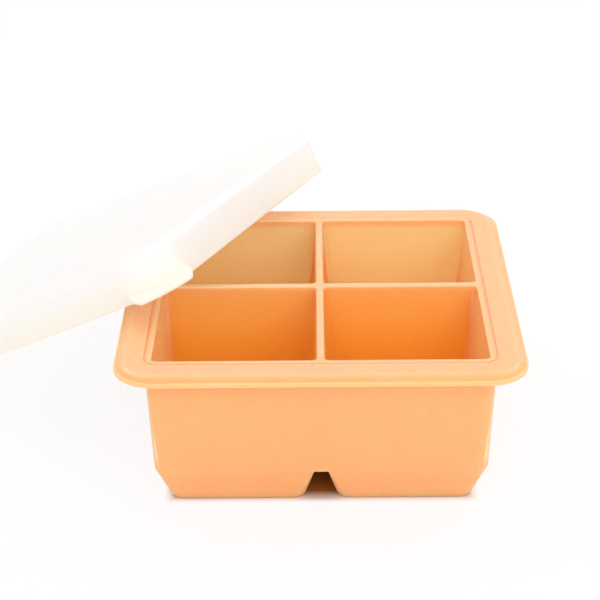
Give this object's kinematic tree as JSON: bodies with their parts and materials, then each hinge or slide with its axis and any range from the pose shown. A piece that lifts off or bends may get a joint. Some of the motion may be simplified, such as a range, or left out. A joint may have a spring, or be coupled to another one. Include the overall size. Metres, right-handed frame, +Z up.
{
  "type": "baby food freezer tray",
  "caption": "Soft moulded freezer tray with square food cells on tapered feet, and its milky press-on lid with a corner pull tab, taken off and leaning on the tray rim.",
  "frame": {"origin": "centre of the tray's footprint on the table", "axes": "+X to the tray's right, +Y to its back, +Z up; the lid leans on the tray's back left corner"},
  "size_m": [0.2582, 0.2359, 0.0867],
  "materials": {
    "tray_silicone": "satin moulded silicone, apricot orange",
    "lid_silicone": "milky translucent moulded silicone"
  },
  "bodies": {
    "tray": {"tray": "tray_silicone"},
    "lid": {"lid": "lid_silicone"}
  },
  "joints": [
    {"name": "lid_tip", "type": "hinge", "parent": "tray", "child": "lid", "pos_m": [-0.15238, 0.09123, 0], "axis": [-0.3827, -0.9239, 0], "range_deg": [0, 62.1]}
  ]
}
